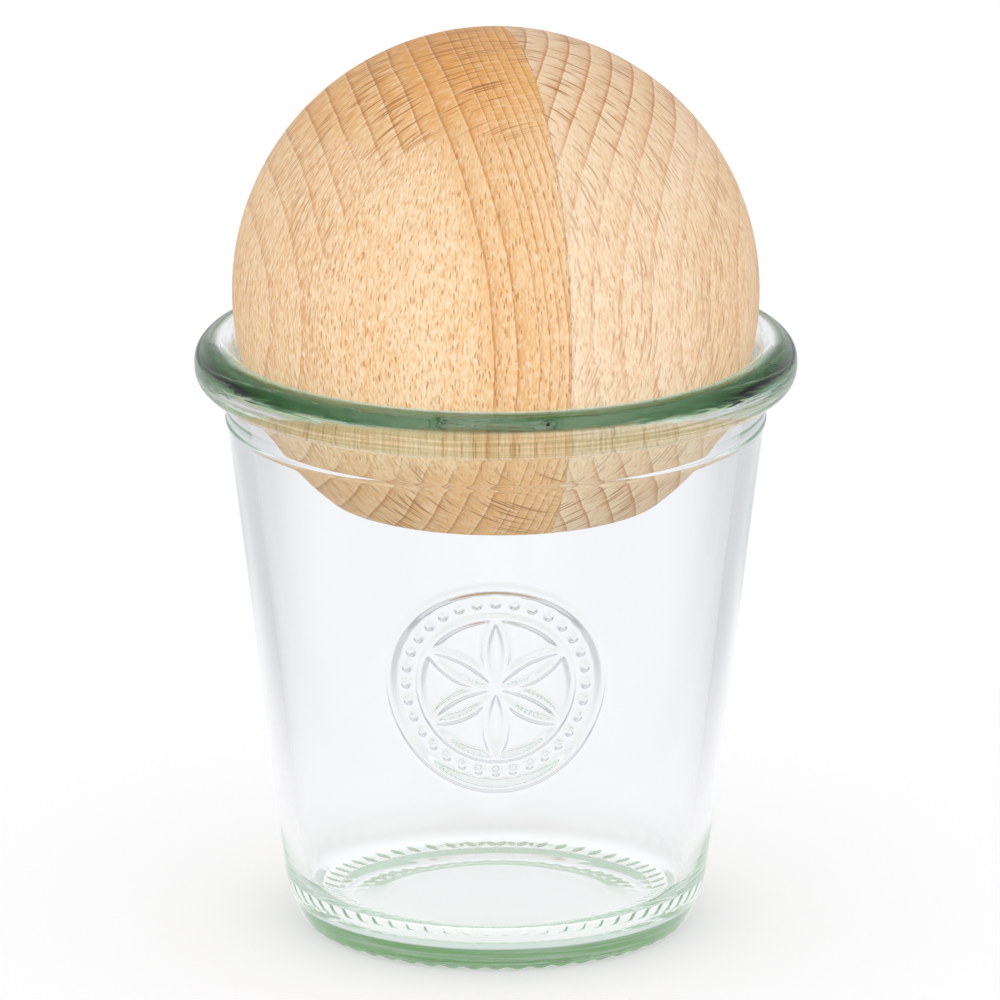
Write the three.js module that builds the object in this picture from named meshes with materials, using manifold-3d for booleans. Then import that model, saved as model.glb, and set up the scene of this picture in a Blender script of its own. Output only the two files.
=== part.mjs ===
// Preserving jar of pressed glass, closed by a turned beech ball that sits loose in its mouth.
// Millimetres, +Z up. The origin is on the jar's axis, on the surface that the jar stands on.
// The ball is glued up from two boards, so it is two half balls with a glue line between them.

import * as THREE from "three";
import { mergeVertices } from "three/addons/utils/BufferGeometryUtils.js";
import Module from "manifold-3d";

// Jar, driving dimensions
const jarHeight = 87;
const mouthDiameter = 76.2;
const mouthEdgeRadius = 2.4;
const rimWidth = 5.4;
const beadHeight = 6.8;
const beadNoseRadius = 3;
const neckFillet = 0.9;
const neckThickness = 3.3;
const floorDiameter = 55;
const floorThickness = 4.5;
const floorFillet = 6;
const wallThickness = 2.8;

// Slope inside the mouth that the ball rests on, driving dimensions
const seatDepth = 5;
const seatAngle = THREE.MathUtils.degToRad(20);
const seatFillet = 8;

// Foot of the jar, driving dimensions
const heelHeight = 6;
const heelInset = 2.6;
const heelLowerFillet = 2;
const heelUpperFillet = 10;
const bearingWidth = 4;
const bearingFillet = 0.8;
const pushUp = 1.6;
const pushUpFlatDiameter = 30;
const pushUpFillet = 20;

// Ball, driving dimensions
const ballRise = 14;
const ballFootDiameter = 48;
const ballFootChamfer = 0.8;
const glueOffset = 2.3;
const glueTurn = THREE.MathUtils.degToRad(13);
const glueLine = 0.3;

// Gap between the ball and its seat
const seatClearance = 0.3;

// Fineness of the round faces
const turns = 72;
const arcDivisions = 3;
const ballArcDivisions = 10;

const wasm = await Module();
wasm.setup();

const glassMaterial = new THREE.MeshStandardMaterial({
  color: 0xdcebe2,
  roughness: 0.03,
  metalness: 0,
  transparent: true,
  opacity: 0.35,
});
const leftBeech = new THREE.MeshStandardMaterial({ color: 0xe2b678, roughness: 0.55, metalness: 0 });
const rightBeech = new THREE.MeshStandardMaterial({ color: 0xe8c394, roughness: 0.55, metalness: 0 });

// A corner of a half section: its radius from the axis, its height and the fillet that rounds it.
function corner(radius, height, fillet = 0) {
  return { at: new THREE.Vector2(radius, height), fillet };
}

// The arc that rounds corner i, tangent to both its runs. A share below 1 shrinks the fillet.
function filletArc(corners, i, share = 1) {
  const { at, fillet } = corners[i];
  const back = corners[i - 1].at.clone().sub(at).normalize();
  const ahead = corners[i + 1].at.clone().sub(at).normalize();
  const radius = fillet * share;
  const reach = radius / Math.tan(back.angleTo(ahead) / 2);
  return {
    centre: back.clone().add(ahead).setLength(Math.hypot(reach, radius)).add(at),
    radius,
    reach,
    start: back.clone().multiplyScalar(reach).add(at),
    end: ahead.clone().multiplyScalar(reach).add(at),
    clockwise: back.cross(ahead) > 0,
  };
}

// The path through the corners, rounded by their fillets.
// Two fillets that are longer together than the run between them share that run.
function roundedPath(corners) {
  const reaches = corners.map(({ fillet }, i) => (fillet === 0 ? 0 : filletArc(corners, i).reach));
  const shares = corners.map(() => 1);
  for (let i = 1; i < corners.length; i++) {
    const run = corners[i].at.distanceTo(corners[i - 1].at);
    const share = Math.min(1, run / (reaches[i] + reaches[i - 1] || run));
    shares[i] = Math.min(shares[i], share);
    shares[i - 1] = Math.min(shares[i - 1], share);
  }
  const path = new THREE.Path();
  path.moveTo(corners[0].at.x, corners[0].at.y);
  corners.slice(1).forEach(({ at, fillet }, k) => {
    if (fillet === 0) {
      path.lineTo(at.x, at.y);
      return;
    }
    const { centre, radius, start, end, clockwise } = filletArc(corners, k + 1, shares[k + 1]);
    path.lineTo(start.x, start.y);
    path.absarc(
      centre.x,
      centre.y,
      radius,
      start.clone().sub(centre).angle(),
      end.clone().sub(centre).angle(),
      clockwise,
    );
  });
  return path;
}

// A half section, from the axis round to the axis again, turned about +Z.
function turned(path, divisions) {
  const points = path.getPoints(divisions);
  return new THREE.LatheGeometry(points, turns).rotateX(Math.PI / 2);
}

// A closed geometry as a solid that can be joined and cut.
function solidOf(geometry) {
  const bare = geometry.clone().deleteAttribute("normal").deleteAttribute("uv");
  const merged = mergeVertices(bare, 1e-4);
  return new wasm.Manifold(
    new wasm.Mesh({
      numProp: 3,
      vertProperties: merged.getAttribute("position").array,
      triVerts: new Uint32Array(merged.index.array),
    }),
  );
}

// A solid as a geometry again.
function geometryOf(solid) {
  const { vertProperties, triVerts } = solid.getMesh();
  const geometry = new THREE.BufferGeometry();
  geometry.setAttribute("position", new THREE.BufferAttribute(vertProperties, 3));
  geometry.setIndex(new THREE.BufferAttribute(triVerts, 1));
  geometry.computeVertexNormals();
  return geometry;
}

function namedMesh(name, geometry, material) {
  const mesh = new THREE.Mesh(geometry, material);
  mesh.name = name;
  return mesh;
}

// Sizes that follow from the driving dimensions
const mouthRadius = mouthDiameter / 2;
const floorRadius = floorDiameter / 2;
const rimRadius = mouthRadius + rimWidth;
const beadBottom = jarHeight - beadHeight;
const seatFootHeight = jarHeight - seatDepth;
const neckRadius = mouthRadius - seatDepth * Math.tan(seatAngle);

// Radius of the wall's outer face at a height: the wall thickens evenly from the floor up to the neck.
const floorOuterRadius = floorRadius + wallThickness;
const outerTaper = (neckRadius + neckThickness - floorOuterRadius) / (seatFootHeight - floorThickness);
const outerRadius = (height) => floorOuterRadius + outerTaper * (height - floorThickness);
const footRadius = outerRadius(heelHeight) - heelInset;

// Half section of the jar's outside: underside, bearing ring, heel, wall and bead.
const outside = [
  corner(0, pushUp),
  corner(pushUpFlatDiameter / 2, pushUp, pushUpFillet),
  corner(footRadius - bearingWidth, 0, bearingFillet),
  corner(footRadius, 0, heelLowerFillet),
  corner(outerRadius(heelHeight), heelHeight, heelUpperFillet),
  corner(outerRadius(beadBottom), beadBottom, neckFillet),
  corner(rimRadius, beadBottom, beadNoseRadius),
  corner(rimRadius, jarHeight, beadNoseRadius),
];

// Half section of the jar's inside: mouth, seat, wall and floor.
const inside = [
  corner(mouthRadius, jarHeight, mouthEdgeRadius),
  corner(neckRadius, seatFootHeight, seatFillet),
  corner(floorRadius, floorThickness, floorFillet),
  corner(0, floorThickness),
];

function glassJar() {
  const section = roundedPath([...outside, ...inside]);
  return namedMesh("glass_jar", turned(section, arcDivisions), glassMaterial);
}

// The ball rests on the rounded foot of the seat all round, its centre above the centre of that rounding.
const seatArc = filletArc(inside, 1);
const ballRadius = Math.hypot(seatArc.centre.x, ballRise) - seatArc.radius - seatClearance;
const ballCentreHeight = seatArc.centre.y + ballRise;

// The whole ball about its own centre: a sphere with a flat turned on it to stand on, its edge broken.
function wholeBall() {
  const flatRadius = ballFootDiameter / 2;
  const flatDepth = Math.sqrt(ballRadius ** 2 - flatRadius ** 2);
  const edgeAngle = Math.atan2(-flatDepth, flatRadius) + ballFootChamfer / ballRadius;
  const section = new THREE.Path();
  section.moveTo(0, -flatDepth);
  section.lineTo(flatRadius - ballFootChamfer, -flatDepth);
  section.absarc(0, 0, ballRadius, edgeAngle, Math.PI / 2, false);
  return turned(section, ballArcDivisions);
}

// The half ball on one side of the glue line: side is -1 on the left and 1 on the right.
function halfBall(name, side, material) {
  const blockSide = 2 * ballRadius + glueOffset;
  const block = new THREE.BoxGeometry(blockSide, 2 * blockSide, 2 * blockSide);
  block.translate(glueOffset + (side * (blockSide + glueLine)) / 2, 0, 0);
  const half = solidOf(wholeBall()).intersect(solidOf(block));
  return namedMesh(name, geometryOf(half), material);
}

const ball = new THREE.Group();
ball.position.z = ballCentreHeight;
ball.rotation.z = glueTurn;
ball.add(halfBall("ball_left_half", -1, leftBeech), halfBall("ball_right_half", 1, rightBeech));

const jar = new THREE.Group();
jar.add(glassJar(), ball);

export default jar;
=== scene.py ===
import bpy
import numpy as np
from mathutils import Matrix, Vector


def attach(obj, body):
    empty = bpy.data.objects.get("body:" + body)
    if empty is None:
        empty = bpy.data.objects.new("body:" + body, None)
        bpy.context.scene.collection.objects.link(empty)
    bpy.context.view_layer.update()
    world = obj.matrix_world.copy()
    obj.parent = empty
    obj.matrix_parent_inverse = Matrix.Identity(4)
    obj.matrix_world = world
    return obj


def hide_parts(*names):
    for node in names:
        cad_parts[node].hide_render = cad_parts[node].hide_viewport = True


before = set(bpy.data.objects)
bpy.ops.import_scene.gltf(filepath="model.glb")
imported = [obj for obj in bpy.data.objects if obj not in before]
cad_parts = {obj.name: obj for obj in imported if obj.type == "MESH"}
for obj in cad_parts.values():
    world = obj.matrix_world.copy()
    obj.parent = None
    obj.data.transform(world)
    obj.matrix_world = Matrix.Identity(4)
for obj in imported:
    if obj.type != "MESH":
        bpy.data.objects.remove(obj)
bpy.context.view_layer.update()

mm = 0.001
print("frame loaded:", sorted(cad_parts))


# mesh helpers

def meshFrom(name, points, quads, triangles):
    # points is (n, 3) in metres, quads (q, 4) and triangles (t, 3) are rows of point numbers
    mesh = bpy.data.meshes.new(name)
    loops = np.concatenate([quads.ravel(), triangles.ravel()]).astype(np.int32)
    starts = np.concatenate([
        np.arange(len(quads)) * 4,
        len(quads) * 4 + np.arange(len(triangles)) * 3,
    ]).astype(np.int32)
    mesh.vertices.add(len(points))
    mesh.vertices.foreach_set("co", points.astype(np.float32).ravel())
    mesh.loops.add(len(loops))
    mesh.loops.foreach_set("vertex_index", loops)
    mesh.polygons.add(len(starts))
    mesh.polygons.foreach_set("loop_start", starts)
    mesh.update(calc_edges=True)
    mesh.validate()
    mesh.shade_smooth()
    piece = bpy.data.objects.new(name, mesh)
    bpy.context.scene.collection.objects.link(piece)
    return piece


def closedSkin(name, grid):
    # grid is (rows, around, 3): every row is a closed loop, and the first and last rows shrink to one point
    rows, around = grid.shape[0] - 2, grid.shape[1]
    points = np.concatenate([grid[:1, 0], grid[1:-1].reshape(-1, 3), grid[-1:, 0]])
    number = 1 + np.arange(rows * around).reshape(rows, around)
    after = np.roll(number, -1, axis=1)
    quads = np.stack([number[:-1], after[:-1], after[1:], number[1:]], axis=-1).reshape(-1, 4)
    first = np.stack([np.zeros(around, int), after[0], number[0]], axis=-1)
    last = np.stack([np.full(around, len(points) - 1), number[-1], after[-1]], axis=-1)
    return meshFrom(name, points, quads, np.concatenate([first, last]))


def roundedOutline(corners, arcSteps):
    # each corner is (radius, height, fillet, steps on the run before it);
    # a fillet is an arc tangent to both runs
    at = np.array([c[:2] for c in corners], float)
    track = [at[:1]]
    for i in range(1, len(corners)):
        fillet, steps = corners[i][2:]
        start = at[i]
        arc = np.empty((0, 2))
        if fillet > 0:
            back = (at[i - 1] - at[i]) / np.linalg.norm(at[i - 1] - at[i])
            ahead = (at[i + 1] - at[i]) / np.linalg.norm(at[i + 1] - at[i])
            half = np.arccos(np.clip(back @ ahead, -1, 1)) / 2
            start, end = at[i] + back * fillet / np.tan(half), at[i] + ahead * fillet / np.tan(half)
            middle = at[i] + (back + ahead) / np.linalg.norm(back + ahead) * fillet / np.sin(half)
            a0, a1 = [np.arctan2(*(p - middle)[::-1]) for p in (start, end)]
            turn = (a1 - a0 + np.pi) % (2 * np.pi) - np.pi
            sweep = a0 + turn * np.linspace(0, 1, arcSteps + 1)[1:]
            arc = middle + fillet * np.stack([np.cos(sweep), np.sin(sweep)], axis=-1)
        along = np.linspace(0, 1, steps + 1)[1:, None]
        run = track[-1][-1] * (1 - along) + start * along
        track.append(np.concatenate([run, arc]))
    return np.concatenate(track)


def ridge(distance, width):
    # a smooth bump: 1 at distance 0, falling like a bell over the width
    return np.exp(-(distance / width) ** 2)


def step(value, low, high):
    # 0 at low, 1 at high, smooth between
    t = np.clip((value - low) / (high - low), 0, 1)
    return t * t * (3 - 2 * t)


# glass jar

jar = {
    "height": 87.0, "mouth": 76.2, "mouthEdge": 2.4, "rimWidth": 5.4,
    "beadHeight": 6.8, "beadNose": 3.0, "neckFillet": 0.9, "neckWall": 3.3,
    "seatDepth": 5.0, "seatAngle": 20.0, "seatFillet": 8.0,        # slope that the ball rests on
    "floor": 55.0, "floorThickness": 4.5, "floorFillet": 6.0, "wall": 2.8,
    "heelHeight": 6.0, "heelInset": 2.6, "heelLower": 2.0, "heelUpper": 10.0,
    "bearing": 4.0, "bearingFillet": 0.8, "pushUp": 1.6, "pushUpFlat": 30.0, "pushUpFillet": 20.0,
    "seamHeight": 75.4, "seamProud": 0.3, "seamWidth": 0.28, "seamZone": 1.0,   # parting line under the bead
    "bars": 54, "barDepth": 0.5, "barSharp": 1.5,                  # bars round the bearing ring
    "barInner": (-0.2, 0.9), "barOuter": (-0.9, 0.6),              # where they fade at the ring's edges
    "barSteps": 7, "fineSteps": 14, "fineBars": 4,                 # faces to a bar, more on the front bars
    "arcSteps": 7,
    "wave": 0.05, "waveFloor": 2.0, "waveFade": (79.0, 59.0),      # unevenness of the inner wall
    "waves": ((3, 0.0, 0.7, 1.0), (5, 1 / 17, 2.0, 0.8), (2, -1 / 11, 0.0, 0.6)),  # turns, rise, start, share
}
medallion = {
    "height": 45.0, "radius": 15.4, "stroke": 0.75, "proud": 0.8,
    "beads": 32, "beadRing": 13.1, "beadSize": 0.6,
    "rosette": 10.9, "petals": 6, "petalStroke": 0.6,
}


def jarGrid():
    # rows follow the half section: underside, wall, bead, and down the inside to the floor; columns go round,
    # closer together on the front; outer is the wall's outer radius, which grows evenly with height
    mouth, bottom = jar["mouth"] / 2, jar["floor"] / 2
    bead = jar["height"] - jar["beadHeight"]
    seat = jar["height"] - jar["seatDepth"]
    neck = mouth - jar["seatDepth"] * np.tan(np.radians(jar["seatAngle"]))
    share = lambda z: (z - jar["floorThickness"]) / (seat - jar["floorThickness"])
    outer = lambda z: bottom + jar["wall"] + share(z) * (neck + jar["neckWall"] - bottom - jar["wall"])
    foot = outer(jar["heelHeight"]) - jar["heelInset"]
    rim = mouth + jar["rimWidth"]
    reach = medallion["radius"] + 2 * medallion["stroke"]
    low, high = medallion["height"] - reach, medallion["height"] + reach
    under, over = jar["seamHeight"] - jar["seamZone"], jar["seamHeight"] + jar["seamZone"]
    track = roundedOutline([
        (0, jar["pushUp"], 0, 1),
        (jar["pushUpFlat"] / 2, jar["pushUp"], jar["pushUpFillet"], 4),
        (foot - jar["bearing"], 0, jar["bearingFillet"], 3),
        (foot, 0, jar["heelLower"], 7),
        (outer(jar["heelHeight"]), jar["heelHeight"], jar["heelUpper"], 2),
        (outer(low), low, 0, 5),
        (outer(high), high, 0, 100),
        (outer(under), under, 0, 4),
        (outer(over), over, 0, 9),
        (outer(bead), bead, jar["neckFillet"], 2),
        (rim, bead, jar["beadNose"], 1),
        (rim, jar["height"], jar["beadNose"], 1),
        (mouth, jar["height"], jar["mouthEdge"], 2),
        (neck, seat, jar["seatFillet"], 3),
        (bottom, jar["floorThickness"], jar["floorFillet"], 12),
        (0, jar["floorThickness"], 0, 5),
    ], jar["arcSteps"])

    barTurn = 2 * np.pi / jar["bars"]
    fine, coarse, few = jar["fineSteps"], jar["barSteps"], jar["fineBars"]
    front = np.arange(-few * fine, few * fine) * barTurn / fine
    rest = np.arange(few * coarse, (jar["bars"] - few) * coarse) * barTurn / coarse
    return track, np.concatenate([front, rest]) - np.pi / 2, outer


def medallionRelief(across, up):
    # a ring, a ring of dots, and a rosette: each petal line is an arc of the rosette's radius about its rim
    radius, turn = np.hypot(across, up), np.arctan2(up, across)
    rosette = medallion["rosette"]
    rings = np.maximum(ridge(radius - medallion["radius"], medallion["stroke"]),
                       ridge(radius - rosette, medallion["petalStroke"]))
    pitch = 2 * np.pi / medallion["beads"]
    off = ((turn + pitch / 2) % pitch - pitch / 2) * medallion["beadRing"]
    beads = ridge(np.hypot(off, radius - medallion["beadRing"]), medallion["beadSize"])
    corner = np.pi / 2 + 2 * np.pi * np.arange(medallion["petals"]) / medallion["petals"]
    away = np.stack([np.hypot(across - rosette * np.cos(a), up - rosette * np.sin(a)) for a in corner])
    petals = ridge(away - rosette, medallion["petalStroke"]).max(axis=0) * (radius < rosette)
    return medallion["proud"] * np.maximum.reduce([rings, beads, petals])


def makeJar():
    # the half section turned about the upright axis; medallion, parting line and unevenness push it along its
    # normal, and the bearing ring is notched upwards between its bars
    track, angle, outer = jarGrid()
    r, z = track[:, :1], track[:, 1:]
    turn = angle[None, :]
    tangent = np.gradient(track, axis=0)
    tangent /= np.maximum(np.linalg.norm(tangent, axis=1, keepdims=True), 1e-9)
    normal = np.stack([tangent[:, 1], -tangent[:, 0]], axis=-1)    # out of the glass
    onWall = (np.abs(r - outer(z)) < 0.02) & (z > jar["heelHeight"])
    inside = (r < outer(z) - 0.8 * jar["wall"]) & (z > jar["floorThickness"] + jar["waveFloor"])

    across = ((turn + 1.5 * np.pi) % (2 * np.pi) - np.pi) * outer(medallion["height"])
    up = (z - medallion["height"]) * np.hypot(1, outer(1) - outer(0))   # measured up the sloped wall
    relief = np.where(onWall, medallionRelief(across, up), 0)
    relief += np.where(onWall, jar["seamProud"] * ridge(z - jar["seamHeight"], jar["seamWidth"]), 0)
    swell = sum(share * np.sin(turns * turn + rise * z + start) for turns, rise, start, share in jar["waves"])
    relief += np.where(inside, jar["wave"] * swell * step(z, *jar["waveFade"]), 0)
    radius = r + relief * normal[:, :1]
    height = z + relief * normal[:, 1:]

    foot = outer(jar["heelHeight"]) - jar["heelInset"]
    notch = (0.5 + 0.5 * np.cos(jar["bars"] * turn)) ** jar["barSharp"]
    onRing = step(r - foot + jar["bearing"], *jar["barInner"]) * (1 - step(r - foot, *jar["barOuter"]))
    height = height + jar["barDepth"] * notch * onRing * (z < jar["pushUp"])
    grid = np.stack([radius * np.cos(turn), radius * np.sin(turn), height * np.ones_like(turn)], axis=-1) * mm
    piece = closedSkin("jar_glass", grid)
    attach(piece, "jar")
    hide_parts("glass_jar")
    return piece


jarPiece = makeJar()
print("jar:", len(jarPiece.data.polygons), "faces")


# beech ball

ball = {
    "radius": 37.99, "centre": 94.156, "foot": 48.0, "footEdge": 0.8,
    "glueOffset": 2.3, "glueTurn": 13.0, "glueLine": 0.03,
    "flatRows": 26, "edgeRows": 4, "sphereRows": 110, "arcSteps": 200, "chordSteps": 40,
}


def ballTrack():
    # half outline of the ball about its own centre: foot, broken edge, sphere up to the top
    foot = ball["foot"] / 2
    depth = np.sqrt(ball["radius"] ** 2 - foot ** 2)
    first = np.arctan2(-depth, foot) + ball["footEdge"] / ball["radius"]
    out = np.linspace(0, foot - ball["footEdge"], ball["flatRows"])
    flat = np.stack([out, np.full_like(out, -depth)], axis=-1)
    end = ball["radius"] * np.array([np.cos(first), np.sin(first)])
    t = np.linspace(0, 1, ball["edgeRows"] + 2)[1:-1, None]
    edge = (1 - t) ** 2 * flat[-1] + 2 * t * (1 - t) * np.array([foot, -depth]) + t ** 2 * end
    sweep = np.linspace(first, np.pi / 2, ball["sphereRows"])
    sphere = ball["radius"] * np.stack([np.cos(sweep), np.sin(sweep)], axis=-1)
    sphere[-1, 0] = 0
    return np.concatenate([flat, edge, sphere])


def halfBall(name, side, node):
    # each level of the outline is an arc on one side of the glue plane, closed by the chord along the plane
    track = ballTrack()
    plane = ball["glueOffset"] + side * ball["glueLine"] / 2
    if side > 0:
        track = track[track[:, 0] > plane]
        low, high = track[0, 1], ball["radius"] * np.sin(np.arccos(plane / ball["radius"]))
        track = np.concatenate([[[plane, low]], track, [[plane, high]]])
    r, z = track[:, :1], track[:, 1:]
    reach = np.arccos(np.clip(plane / np.maximum(r, 1e-9), -1, 1))  # half angle of the arc past the plane
    v = np.linspace(0, 1, ball["arcSteps"])[None, :]
    turn = reach * (2 * v - 1) if side > 0 else reach + (2 * np.pi - 2 * reach) * v
    arc = np.stack([r * np.cos(turn), r * np.sin(turn)], axis=-1)
    w = np.linspace(0, 1, ball["chordSteps"] + 2)[None, 1:-1, None]
    chord = arc[:, -1:] * (1 - w) + arc[:, :1] * w
    level = np.concatenate([arc, chord], axis=1)
    grid = np.concatenate([level, np.broadcast_to(z[:, :, None], level.shape[:2] + (1,))], axis=-1)
    c, s = np.cos(np.radians(ball["glueTurn"])), np.sin(np.radians(ball["glueTurn"]))
    spin = np.array([[c, -s, 0], [s, c, 0], [0, 0, 1]])
    piece = closedSkin(name, (grid @ spin.T + np.array([0, 0, ball["centre"]])) * mm)
    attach(piece, "ball_lid")
    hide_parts(node)
    return piece


leftHalf = halfBall("ball_left", -1, "ball_left_half")
rightHalf = halfBall("ball_right", 1, "ball_right_half")
print("ball halves:", len(leftHalf.data.polygons), len(rightHalf.data.polygons), "faces")


# shader helpers

def newMaterial(name):
    # an empty material and its node tree
    material = bpy.data.materials.new(name)
    material.use_nodes = True
    material.node_tree.nodes.clear()
    return material, material.node_tree


def add(tree, kind, settings=None, **inputs):
    # one node; an input is a value, or another node's output to link; spaces in its name are written _, and
    # i0, i1 and so on are inputs by number
    node = tree.nodes.new("ShaderNode" + kind)
    for key, value in (settings or {}).items():
        setattr(node, key, value)
    for key, value in inputs.items():
        socket = node.inputs[int(key[1:])] if key[1:].isdigit() else node.inputs[key.replace("_", " ")]
        if isinstance(value, bpy.types.NodeSocket):
            tree.links.new(value, socket)
        else:
            socket.default_value = value
    return node


def calc(tree, operation, a, b=0.0, c=0.0):
    # one sum on numbers, such as a times b plus c for MULTIPLY_ADD
    return add(tree, "Math", {"operation": operation}, i0=a, i1=b, i2=c).outputs[0]


def vector(tree, operation, a, b=(0, 0, 0), c=(0, 0, 0)):
    # one sum on vectors; LENGTH gives a number, the others a vector
    node = add(tree, "VectorMath", {"operation": operation}, i0=a, i1=b, i2=c)
    return node.outputs["Value" if operation == "LENGTH" else "Vector"]


def ramp(tree, value, low, high, toLow=0.0, toHigh=1.0):
    # smooth step of a value, from toLow at low to toHigh at high
    node = add(tree, "MapRange", {"interpolation_type": "SMOOTHSTEP"}, Value=value,
               From_Min=low, From_Max=high, To_Min=toLow, To_Max=toHigh)
    return node.outputs["Result"]


def noise(tree, at, scale=1.0, detail=2.0):
    # cloudy noise about 0.5 at a place, as a number and as a colour
    return add(tree, "TexNoise", Vector=at, Scale=scale, Detail=detail).outputs


def spots(tree, at):
    # scattered cells: the distance to a cell's middle, and random numbers of its own
    node = add(tree, "TexVoronoi", {"feature": "F1"}, Vector=at, Scale=1.0, Randomness=1.0)
    return node.outputs["Distance"], add(tree, "SeparateColor", i0=node.outputs["Color"]).outputs


def blendColour(tree, share, a, b, kind="MIX"):
    # colour a at share 0, and at share 1 colour b, or a times b for MULTIPLY
    return add(tree, "Mix", {"data_type": "RGBA", "blend_type": kind}, i0=share, i6=a, i7=b).outputs[2]


def srgb(red, green, blue):
    # a colour given as 0 to 255 on screen, as the linear colour that shaders take
    c = np.array([red, green, blue]) / 255
    lin = np.where(c <= 0.04045, c / 12.92, ((c + 0.055) / 1.055) ** 2.4)
    return (*[float(x) for x in lin], 1.0)


# beech

figure = {                                                         # lengths in mm, scales per mm
    "bend": (0.7, 0.7, 2.5), "bendScale": 0.09,                    # slow wander of the grain
    "zoneLean": 0.2, "zoneEdge": 0.25, "endCut": (0.5, 0.74), "topTint": (0.55, 0.95, 0.5, 1.0),
    "lateRise": (0.8, 0.96), "lateStop": (1.0, 0.97), "earlyRise": (0.0, 0.03), "earlyStop": (0.11, 0.04),
    "rayEdge": (0.46, 0.22), "rayKeep": (0.25, 0.6),
    "wiggle": (0.4, 0.4, 0.4), "wiggleScale": 0.8, "wrapRadius": 30.0,
    "strand": (4.0, 4.0, 0.8), "strandRange": (5.0, -2.5),         # strands along the grain
    "cross": (0.6, 3.2, 0.4), "crossRange": (2.4, -1.2),           # strands across the rings
    "vessel": (3.3, 3.3, 0.5), "dashEdge": (0.36, 0.2), "dashKeep": (0.3, 0.8),
    "fibre": (3.2, 3.2, 0.16), "cloud": (0.55, 0.55, 0.045),
}


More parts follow.
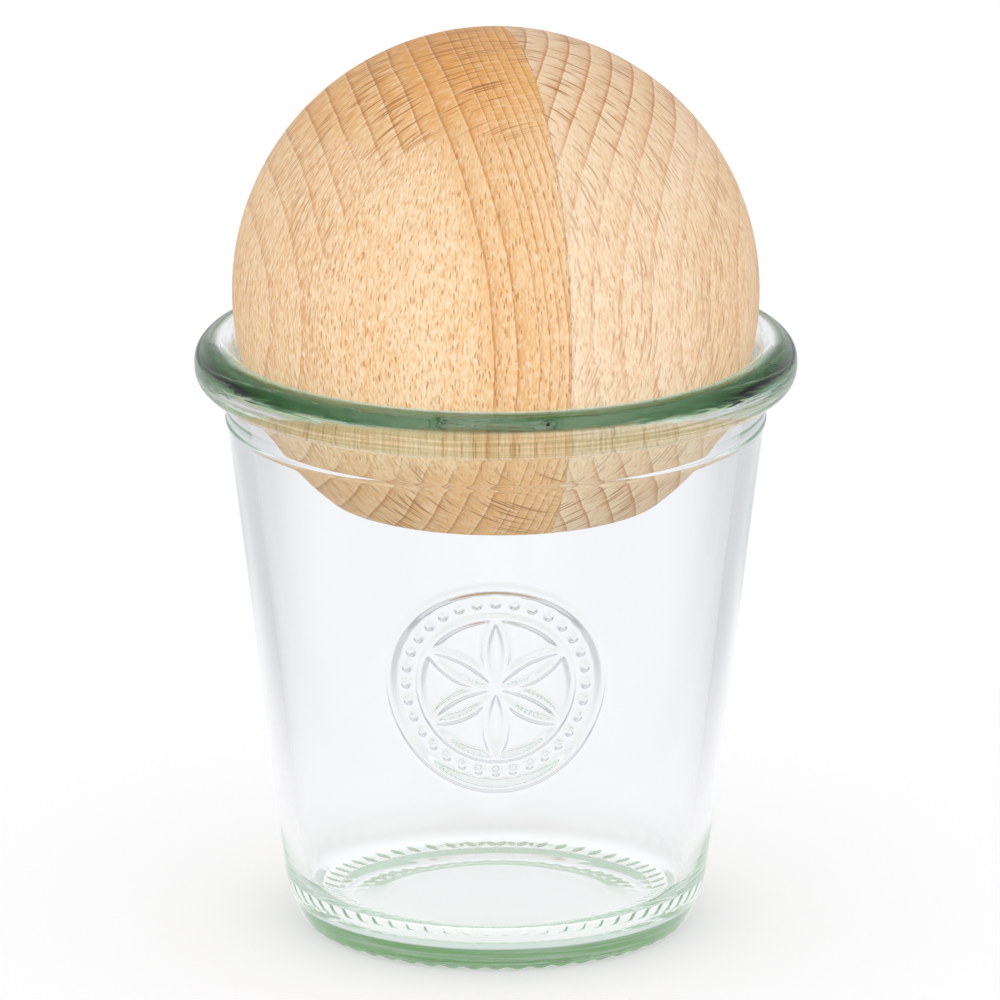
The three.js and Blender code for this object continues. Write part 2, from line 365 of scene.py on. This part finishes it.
def beechFigure():
    # rings are cylinders about the pith, rays are thin ribbons that run out from it along the grain;
    # both show on end grain and on the sides, and melt into fine dashes where a ray lies flat in the face
    group = bpy.data.node_groups.new("beechFigure", "ShaderNodeTree")
    for name in ("Pith X", "Pith Y", "Lean", "Ring Start", "Ring Width", "Close Rings", "Arc Radius",
                 "Ray Length", "Ray Spacing", "Ray Height", "Flat From", "Flat To"):
        group.interface.new_socket(name, in_out="INPUT", socket_type="NodeSocketFloat")
    given = group.nodes.new("NodeGroupInput").outputs
    place = vector(group, "MULTIPLY_ADD", add(group, "TexCoord").outputs["Object"], (1 / mm, 1 / mm, 1 / mm),
                   (0, 0, -ball["centre"]))
    slow = noise(group, place, figure["bendScale"])
    drift = vector(group, "SUBTRACT", slow["Color"], (0.5, 0.5, 0.5))
    bent = vector(group, "MULTIPLY_ADD", drift, figure["bend"], place)
    leaned = add(group, "VectorRotate", {"rotation_type": "X_AXIS"}, Vector=bent, Angle=given["Lean"])
    leaned = leaned.outputs[0]
    grain = add(group, "SeparateXYZ", i0=leaned).outputs
    dx = calc(group, "SUBTRACT", grain[0], given["Pith X"])
    dy = calc(group, "SUBTRACT", grain[1], given["Pith Y"])
    out = add(group, "CombineXYZ", i0=dx, i1=dy).outputs[0]
    depth = vector(group, "LENGTH", out)
    turn = calc(group, "ARCTAN2", dy, calc(group, "ABSOLUTE", dx))
    arc = calc(group, "MULTIPLY", turn, given["Arc Radius"])

    # how the surface lies to the grain: end is 1 across it, opened is 0 where rays lie flat in the face
    unit = vector(group, "NORMALIZE", place)
    upright = add(group, "VectorRotate", {"rotation_type": "X_AXIS"}, Vector=unit, Angle=figure["zoneLean"])
    rise = add(group, "SeparateXYZ", i0=upright.outputs[0]).outputs[2]
    rough = calc(group, "MULTIPLY", calc(group, "SUBTRACT", slow["Fac"], 0.5), figure["zoneEdge"])
    end = ramp(group, calc(group, "ADD", calc(group, "ABSOLUTE", rise), rough), *figure["endCut"])
    top = calc(group, "MULTIPLY", end, ramp(group, rise, *figure["topTint"]))
    side = vector(group, "CROSS_PRODUCT", unit, vector(group, "NORMALIZE", out))
    flat = calc(group, "ABSOLUTE", add(group, "SeparateXYZ", i0=side).outputs[2])
    flat = calc(group, "SUBTRACT", flat, rough)
    opened = calc(group, "MAXIMUM", end, ramp(group, flat, given["Flat To"], given["Flat From"]))

    # rings: late wood darkens towards the end of a year, early wood is a light line at its start
    away = calc(group, "SUBTRACT", depth, given["Ring Start"])
    phase = calc(group, "MULTIPLY_ADD", calc(group, "MINIMUM", away, 0.0), given["Close Rings"],
                 calc(group, "DIVIDE", away, given["Ring Width"]))
    within = calc(group, "FRACT", phase)
    year = add(group, "TexWhiteNoise", {"noise_dimensions": "1D"}, W=calc(group, "FLOOR", phase))
    year = year.outputs["Value"]
    late = calc(group, "ADD", calc(group, "POWER", within, 2.0), ramp(group, within, *figure["lateRise"]))
    late = calc(group, "MULTIPLY", calc(group, "MULTIPLY", late, 0.5),
                ramp(group, within, *figure["lateStop"]))
    early = calc(group, "MULTIPLY", ramp(group, within, *figure["earlyStop"]),
                 ramp(group, within, *figure["earlyRise"]))

    # strong rays: thin cells, long outwards from the pith and high along the grain
    cell = add(group, "CombineXYZ", i0=calc(group, "DIVIDE", depth, given["Ray Length"]),
               i1=calc(group, "DIVIDE", arc, given["Ray Spacing"]),
               i2=calc(group, "DIVIDE", grain[2], given["Ray Height"])).outputs[0]
    distance, chance = spots(group, cell)
    ray = calc(group, "MULTIPLY", ramp(group, distance, *figure["rayEdge"]),
               ramp(group, chance[0], *figure["rayKeep"]))
    ray = calc(group, "MULTIPLY", ray, calc(group, "MULTIPLY", calc(group, "ADD", end, opened), 0.5))

    # strands: across the rings on end grain, up the surface elsewhere
    around = vector(group, "NORMALIZE", vector(group, "MULTIPLY", place, (1, 1, 0)))
    climb = calc(group, "ARCSINE", add(group, "SeparateXYZ", i0=unit).outputs[2])
    climb = add(group, "CombineXYZ", i2=calc(group, "MULTIPLY", climb, ball["radius"])).outputs[0]
    wrapped = vector(group, "MULTIPLY_ADD", around, (figure["wrapRadius"], figure["wrapRadius"], 0), climb)
    wiggle = noise(group, place, figure["wiggleScale"], 1.0)["Color"]
    fine = vector(group, "MULTIPLY_ADD", wiggle, figure["wiggle"], wrapped)
    radial = vector(group, "MULTIPLY", add(group, "CombineXYZ", i0=depth, i1=arc, i2=grain[2]).outputs[0],
                    figure["cross"])
    strand = noise(group, vector(group, "MULTIPLY", fine, figure["strand"]), detail=1.5)["Fac"]
    cross = noise(group, radial, detail=0.0)["Fac"]
    weave = add(group, "Mix", i0=end, i2=calc(group, "MULTIPLY_ADD", strand, *figure["strandRange"]),
                i3=calc(group, "MULTIPLY_ADD", cross, *figure["crossRange"])).outputs[0]

    # dashes: vessels cut along the grain
    distance, chance = spots(group, vector(group, "MULTIPLY", fine, figure["vessel"]))
    dash = calc(group, "MULTIPLY", ramp(group, distance, *figure["dashEdge"]),
                ramp(group, chance[1], *figure["dashKeep"]))

    fibre = noise(group, vector(group, "MULTIPLY", leaned, figure["fibre"]))["Fac"]
    cloud = noise(group, vector(group, "MULTIPLY", leaned, figure["cloud"]))["Fac"]
    made = group.nodes.new("NodeGroupOutput")
    for name, value in (("Ring", late), ("Early", early), ("Band", year), ("Ray", ray), ("Weave", weave),
                        ("Dash", dash), ("Fibre", fibre), ("Cloud", cloud), ("Depth", depth), ("End", end),
                        ("Top", top), ("Open", opened)):
        group.interface.new_socket(name, in_out="OUTPUT", socket_type="NodeSocketFloat")
        group.links.new(value, made.inputs[name])
    return group


beechGroup = beechFigure()
leftBoard = {
    "name": "beech_left", "pith": (86.0, 11.0), "lean": 0.0, "arc": 98.0,
    "ringStart": 93.4, "ringWidth": 2.9, "closeRings": 0.4,
    "ray": (12.0, 0.34, 5.0), "flat": (0.43, 0.53),
    "ringShare": 0.95, "sideRings": 0.5, "nearGlue": (101.4, 100.2), "strand": 0.42,
    "warmOuter": (101.4, 98.5), "warmInner": (86.0, 92.0),
    "pale": srgb(252, 218, 174), "warm": srgb(244, 190, 126), "end": srgb(252, 224, 176),
    "late": srgb(206, 140, 72), "light": srgb(255, 236, 208), "line": srgb(176, 114, 62),
}
rightBoard = {
    "name": "beech_right", "pith": (-43.1, -8.6), "lean": 0.2, "arc": 60.0,
    "ringStart": 56.75, "ringWidth": 3.05, "closeRings": 0.0,
    "ray": (7.0, 0.36, 5.0), "flat": (0.62, 0.85),
    "ringShare": 0.9, "sideRings": 0.4, "nearGlue": (40.0, 39.0), "strand": 0.32,
    "warmOuter": (90.0, 80.0), "warmInner": (68.0, 78.0),
    "pale": srgb(253, 225, 190), "warm": srgb(246, 206, 158), "end": srgb(255, 250, 244),
    "late": srgb(208, 142, 86), "light": srgb(255, 240, 217), "line": srgb(178, 120, 72),
}
turnedFinish = {
    "year": 0.3, "warm": 0.45, "cloud": 0.7, "fibre": 0.7,         # shares of the warm tone
    "near": 0.9, "early": (0.28, 0.06), "weaveNear": (-0.4, 1.0), "lightStrand": -1.7,
    "dash": (-0.3, 0.7), "ray": 0.9,
    "roughness": (0.15, 0.48), "specular": 0.3,
    "fibreRelief": 0.4, "weaveRelief": -0.3, "bump": 0.2, "bumpDepth": 0.00005,
}


def beech(board):
    # pale to warm by year, depth and fibre, deepened on end grain, with rings, strands, dashes and rays on it
    material, tree = newMaterial(board["name"])
    length, spacing, height = board["ray"]
    wood = add(tree, "Group", {"node_tree": beechGroup}, Pith_X=board["pith"][0], Pith_Y=board["pith"][1],
               Lean=board["lean"], Ring_Start=board["ringStart"], Ring_Width=board["ringWidth"],
               Close_Rings=board["closeRings"], Arc_Radius=board["arc"], Ray_Length=length,
               Ray_Spacing=spacing, Ray_Height=height, Flat_From=board["flat"][0],
               Flat_To=board["flat"][1]).outputs
    warmth = calc(tree, "MULTIPLY", ramp(tree, wood["Depth"], *board["warmOuter"]),
                  ramp(tree, wood["Depth"], *board["warmInner"]))
    tone = calc(tree, "MULTIPLY_ADD", wood["Band"], turnedFinish["year"],
                calc(tree, "MULTIPLY", warmth, turnedFinish["warm"]))
    for name, share in (("Cloud", turnedFinish["cloud"]), ("Fibre", turnedFinish["fibre"])):
        tone = calc(tree, "MULTIPLY_ADD", calc(tree, "SUBTRACT", wood[name], 0.5), share, tone)
    colour = blendColour(tree, tone, board["pale"], board["warm"])
    colour = blendColour(tree, wood["Top"], colour, board["end"], "MULTIPLY")

    near = ramp(tree, wood["Depth"], *board["nearGlue"], 0.0, turnedFinish["near"])
    clear = calc(tree, "MULTIPLY_ADD", wood["End"], 1 - board["sideRings"], board["sideRings"])
    clear = calc(tree, "MULTIPLY", wood["Open"], clear)
    ringShare = calc(tree, "MULTIPLY", calc(tree, "MAXIMUM", clear, near), board["ringShare"])
    earlyShare = calc(tree, "MULTIPLY_ADD", clear, *turnedFinish["early"])
    weave = calc(tree, "MULTIPLY", wood["Weave"],
                 calc(tree, "MULTIPLY_ADD", near, *turnedFinish["weaveNear"]))
    dark = calc(tree, "MULTIPLY", weave, board["strand"])
    light = calc(tree, "MULTIPLY", weave, turnedFinish["lightStrand"] * board["strand"])
    dashShare = calc(tree, "MULTIPLY_ADD", wood["Open"], *turnedFinish["dash"])
    for share, laid in ((calc(tree, "MULTIPLY", wood["Ring"], ringShare), board["late"]),
                        (calc(tree, "MULTIPLY", wood["Early"], earlyShare), board["light"]),
                        (add(tree, "Clamp", Value=dark).outputs[0], board["late"]),
                        (add(tree, "Clamp", Value=light).outputs[0], board["light"]),
                        (calc(tree, "MULTIPLY", wood["Dash"], dashShare), board["line"]),
                        (calc(tree, "MULTIPLY", wood["Ray"], turnedFinish["ray"]), board["line"])):
        colour = blendColour(tree, share, colour, laid)

    rough = calc(tree, "MULTIPLY_ADD", wood["Fibre"], *turnedFinish["roughness"])
    relief = calc(tree, "MULTIPLY_ADD", wood["Fibre"], turnedFinish["fibreRelief"],
                  calc(tree, "MULTIPLY", wood["Weave"], turnedFinish["weaveRelief"]))
    relief = calc(tree, "SUBTRACT", relief, calc(tree, "ADD", wood["Ray"], wood["Dash"]))
    bump = add(tree, "Bump", Strength=turnedFinish["bump"], Distance=turnedFinish["bumpDepth"], Height=relief)
    shader = add(tree, "BsdfPrincipled", Base_Color=colour, Roughness=rough, Normal=bump.outputs[0],
                 Specular_IOR_Level=turnedFinish["specular"])
    add(tree, "OutputMaterial", Surface=shader.outputs[0])
    return material


leftHalf.data.materials.append(beech(leftBoard))
rightHalf.data.materials.append(beech(rightBoard))
print("beech done")


# glass

glass = {                                                          # zones fade in between two sizes in mm
    "ior": 1.52, "body": srgb(253, 254, 254),
    "absorb": (0.32, 0.70, 0.44, 1.0), "density": 6.0,
    # the rim's top colour: partly the glass's own green, partly painted shade, near black, for the dark that
    # the thick bead shows
    "rim": (0.012, 0.06, 0.006, 1.0), "rimLow": (84.5, 85.2), "rimInner": (39.6, 40.8),
    # the bead's outer curve: partly the glass's green, partly painted shade, dull and yellowish, stronger
    # towards the sides
    "noseGreenAndShade": (0.50, 0.53, 0.31, 1.0), "noseLow": (80.0, 81.0), "noseInner": (40.0, 41.0),
    "noseSide": (8.0, 30.0, 0.85, 1.0),
    # the bottom edge's outside: partly the glass's own green, partly painted shade, dark green
    "heel": (0.05, 0.19, 0.03, 1.0), "heelTop": (4.2, 3.8), "heelInner": (25.8, 26.8),
    "layerRise": 1.7, "layerOut": 2.3, "layerTurn": (2, 2, 2),     # streaks that follow the rim round
    "rimStreak": (0.38, 0.6, 0.85, 1.0), "noseStreak": (0.62, 0.4), "heelStreak": (0.35, 0.6, 0.88, 1.0),
    "ripple": 0.3, "rippleDepth": 0.0001, "rippleLow": (79.8, 81.0),
    "shadow": (0.95, 0.965, 0.955, 1.0), "footShadow": (0.62, 0.66, 0.63, 1.0), "footTop": (12.0, 3.0),
}


def clearGlass():
    # the body is nearly colourless; the rim's top, the bead below it and the bottom edge look along the wall,
    # so they are green, and painted shade darkens them further, most on the rim's top; shadows and the light
    # that surfaces give each other pass straight through
    material, tree = newMaterial("clear_glass")
    place = vector(tree, "MULTIPLY", add(tree, "TexCoord").outputs["Object"], (1 / mm, 1 / mm, 1 / mm))
    sideways, _, height = add(tree, "SeparateXYZ", i0=place).outputs
    across = vector(tree, "MULTIPLY", place, (1, 1, 0))
    radius = vector(tree, "LENGTH", across)
    outside = calc(tree, "SUBTRACT", 1.0, add(tree, "NewGeometry").outputs["Backfacing"])

    layer = calc(tree, "MULTIPLY_ADD", height, glass["layerRise"],
                 calc(tree, "MULTIPLY", radius, glass["layerOut"]))
    layer = vector(tree, "MULTIPLY_ADD", vector(tree, "NORMALIZE", across), glass["layerTurn"],
                   add(tree, "CombineXYZ", i2=layer).outputs[0])
    streak = noise(tree, layer)["Fac"]

    zone = lambda low, inner: calc(tree, "MULTIPLY", ramp(tree, height, *low), ramp(tree, radius, *inner))
    noseGreenAndShade, rim, heel = [
        calc(tree, "MULTIPLY", zone(glass[low], glass[inner]), ramp(tree, streak, *glass[streaks]))
        for low, inner, streaks in (("noseLow", "noseInner", "noseStreak"),
                                    ("rimLow", "rimInner", "rimStreak"),
                                    ("heelTop", "heelInner", "heelStreak"))
    ]
    # painted shade on the bead's outer curve grows towards the jar's sides
    noseGreenAndShade = calc(tree, "MULTIPLY", noseGreenAndShade, ramp(tree, calc(tree, "ABSOLUTE", sideways), *glass["noseSide"]))
    colour = blendColour(tree, noseGreenAndShade, glass["body"], glass["noseGreenAndShade"])
    # painted shade: the rim's top darkened to near-black green on its outside faces
    colour = blendColour(tree, calc(tree, "MULTIPLY", rim, outside), colour, glass["rim"])
    # painted shade: the bottom edge darkened to deep green on its outside faces only
    colour = blendColour(tree, calc(tree, "MULTIPLY", heel, outside), colour, glass["heel"])

    ripple = calc(tree, "MULTIPLY", streak, ramp(tree, height, *glass["rippleLow"]))
    bump = add(tree, "Bump", Strength=glass["ripple"], Distance=glass["rippleDepth"], Height=ripple)
    shader = add(tree, "BsdfPrincipled", Base_Color=colour, Roughness=0.0, IOR=glass["ior"],
                 Normal=bump.outputs[0], Transmission_Weight=1.0)
    shadow = blendColour(tree, ramp(tree, height, *glass["footTop"]), glass["shadow"], glass["footShadow"])
    clear = add(tree, "BsdfTransparent", Color=shadow)
    path = add(tree, "LightPath").outputs
    straight = calc(tree, "MAXIMUM", path["Is Shadow Ray"], path["Is Diffuse Ray"])
    both = add(tree, "MixShader", i0=straight, i1=shader.outputs[0], i2=clear.outputs[0])
    inside = add(tree, "VolumeAbsorption", Color=glass["absorb"], Density=glass["density"])
    add(tree, "OutputMaterial", Surface=both.outputs[0], Volume=inside.outputs[0])
    return material


jarPiece.data.materials.append(clearGlass())
print("glass done")


# stage: floor, light and camera

stage = {
    "floorHalf": 6.0, "floorTone": 0.93, "floorTint": (0.99, 0.992, 1.01, 1.0), "floorLift": 0.24,
    "paintedGlowUnderJar": 0.4, "paintedGlowRadii": (0.036, 0.026),                    # painted light: the floor under the jar glows, seen only through the jar's own bottom
    "mirrorFront": (-0.05, -0.1), "mirrorShare": 0.35,
    "fadeAcross": (0.04, 0.12), "fadeBehind": (0.35, 0.8), "farFloor": 0.68,
    "glassTint": (1.015, 1.0, 1.04, 1.0),
    "skyLight": 0.82, "skySide": (0.3, 0.9, 1.0, 0.85), "skyRise": (0.0, 0.6, 0.78, 1.0),
    "skyMirrorFrom": (0.1, 0.5), "skyMirror": 0.4,
    "bounces": 64,                                                 # light runs far inside the thick rim
}
lamps = {
    "lamp_left": {"place": (-1.0, -1.6, 0.2), "size": (1.2, 0.36), "power": 5.8},
    "lamp_right": {"place": (1.1, -1.5, 0.2), "size": (1.2, 0.36), "power": 5.4},
}
shot = {
    "aim": (0.0006, 0.0, 0.0627), "distance": 2.08, "elevation": 16.0,
    "lens": 518.0, "sensor": 36.0, "far": 50.0,
}


def throughGlass(tree):
    # two masks, both 0 for the camera's own view and for light that falls on surfaces: the first is 1 for all
    # that glass mirrors or lets through, the second for what it mirrors alone
    path = add(tree, "LightPath").outputs
    bent = calc(tree, "MAXIMUM", path["Is Glossy Ray"], path["Is Transmission Ray"])
    inGlass = calc(tree, "MULTIPLY", bent, calc(tree, "LESS_THAN", path["Diffuse Depth"], 0.5))
    return inGlass, calc(tree, "MULTIPLY", inGlass, path["Is Reflection Ray"])


def dimmed(tree, level, share, mask):
    # level, less the part of it that share gives where the mask is 1
    return calc(tree, "MULTIPLY", level, calc(tree, "SUBTRACT", 1.0, calc(tree, "MULTIPLY", mask, share)))


def makeFloor():
    # a flat square, white to the camera everywhere; the jar shows it white nearby and greyer far away, so
    # that its edges read, and mirrors less of its front part; under the jar a painted glow lightens it in the
    # glass
    half = stage["floorHalf"]
    points = np.array([[-half, -half, 0], [half, -half, 0], [half, half, 0], [-half, half, 0]])
    floor = meshFrom("floor", points, np.array([[0, 1, 2, 3]]), np.empty((0, 3), int))
    material, tree = newMaterial("pale_floor")
    place = add(tree, "TexCoord").outputs["Object"]
    spot = add(tree, "SeparateXYZ", i0=place).outputs
    inGlass, mirrored = throughGlass(tree)
    across = ramp(tree, calc(tree, "ABSOLUTE", spot[0]), *stage["fadeAcross"], 1.0, stage["farFloor"])
    far = calc(tree, "MULTIPLY", across, ramp(tree, spot[1], *stage["fadeBehind"], 1.0, stage["farFloor"]))
    front = ramp(tree, spot[1], *stage["mirrorFront"], 0.0, 1 - stage["mirrorShare"])
    shade = add(tree, "Mix", i0=inGlass, i2=1.0, i3=dimmed(tree, far, front, mirrored)).outputs[0]
    tint = blendColour(tree, inGlass, stage["floorTint"], stage["glassTint"])
    tone = add(tree, "VectorMath", {"operation": "SCALE"}, i0=tint,
               Scale=calc(tree, "MULTIPLY", shade, stage["floorTone"])).outputs[0]
    matt = add(tree, "BsdfDiffuse", Color=tone).outputs[0]
    seen = calc(tree, "MAXIMUM", add(tree, "LightPath").outputs["Is Camera Ray"], inGlass)
    # painted light: extra glow on the floor under the jar, for rays through the glass only, lifting the jar's
    # shadow there
    under = ramp(tree, vector(tree, "LENGTH", place), *stage["paintedGlowRadii"], 0.0, stage["paintedGlowUnderJar"])
    glow = calc(tree, "MULTIPLY_ADD", calc(tree, "MULTIPLY", seen, shade), stage["floorLift"],
                calc(tree, "MULTIPLY", under, inGlass))
    lift = add(tree, "Emission", Color=tint, Strength=glow).outputs[0]
    add(tree, "OutputMaterial", Surface=add(tree, "AddShader", i0=matt, i1=lift).outputs[0])
    floor.data.materials.append(material)


def makeSky():
    # even light on surfaces; in the glass it is greyer towards the sides and the horizon, and the part
    # overhead is mirrored dimly, so that the rim keeps its green
    world = bpy.data.worlds.new("studio")
    bpy.context.scene.world = world
    world.use_nodes = True
    tree = world.node_tree
    tree.nodes.clear()
    way = add(tree, "SeparateXYZ", i0=add(tree, "TexCoord").outputs["Generated"]).outputs
    inGlass, mirrored = throughGlass(tree)
    side = ramp(tree, calc(tree, "ABSOLUTE", way[0]), *stage["skySide"])
    overhead = ramp(tree, way[2], *stage["skyMirrorFrom"], 0.0, 1 - stage["skyMirror"])
    rise = dimmed(tree, ramp(tree, way[2], *stage["skyRise"]), overhead, mirrored)
    level = calc(tree, "MULTIPLY", side, rise)
    level = add(tree, "Mix", i0=inGlass, i2=stage["skyLight"], i3=level).outputs[0]
    level = add(tree, "Mix", i0=add(tree, "LightPath").outputs["Is Camera Ray"], i2=level, i3=1.0).outputs[0]
    tint = blendColour(tree, inGlass, (1, 1, 1, 1), stage["glassTint"])
    add(tree, "OutputWorld", Surface=add(tree, "Background", Color=tint, Strength=level).outputs[0])


def makeLamps():
    # two low soft lamps in front, turned to the object and hidden from the glass
    for name, lamp in lamps.items():
        data = bpy.data.lights.new(name, "AREA")
        data.shape = "RECTANGLE"
        data.size, data.size_y = lamp["size"]
        data.energy = lamp["power"]
        light = bpy.data.objects.new(name, data)
        light.location = lamp["place"]
        light.rotation_euler = (Vector(shot["aim"]) - light.location).to_track_quat("-Z", "Y").to_euler()
        light.visible_transmission = light.visible_glossy = False
        bpy.context.scene.collection.objects.link(light)


def makeCamera():
    # straight in front, raised by the elevation, at the distance from the aim
    data = bpy.data.cameras.new("camera")
    data.sensor_width = shot["sensor"]
    data.lens = shot["lens"]
    data.clip_end = shot["far"]
    camera = bpy.data.objects.new("camera", data)
    rise = np.radians(shot["elevation"])
    back = Vector((0, -np.cos(rise), np.sin(rise)))
    camera.location = Vector(shot["aim"]) + back * shot["distance"]
    camera.rotation_euler = (-back).to_track_quat("-Z", "Y").to_euler()
    bpy.context.scene.collection.objects.link(camera)
    bpy.context.scene.camera = camera


makeFloor()
makeSky()
makeLamps()
makeCamera()
bpy.context.scene.view_settings.view_transform = "Standard"
cycles = bpy.context.scene.cycles
cycles.max_bounces = cycles.transmission_bounces = cycles.glossy_bounces = stage["bounces"]
print("stage done")
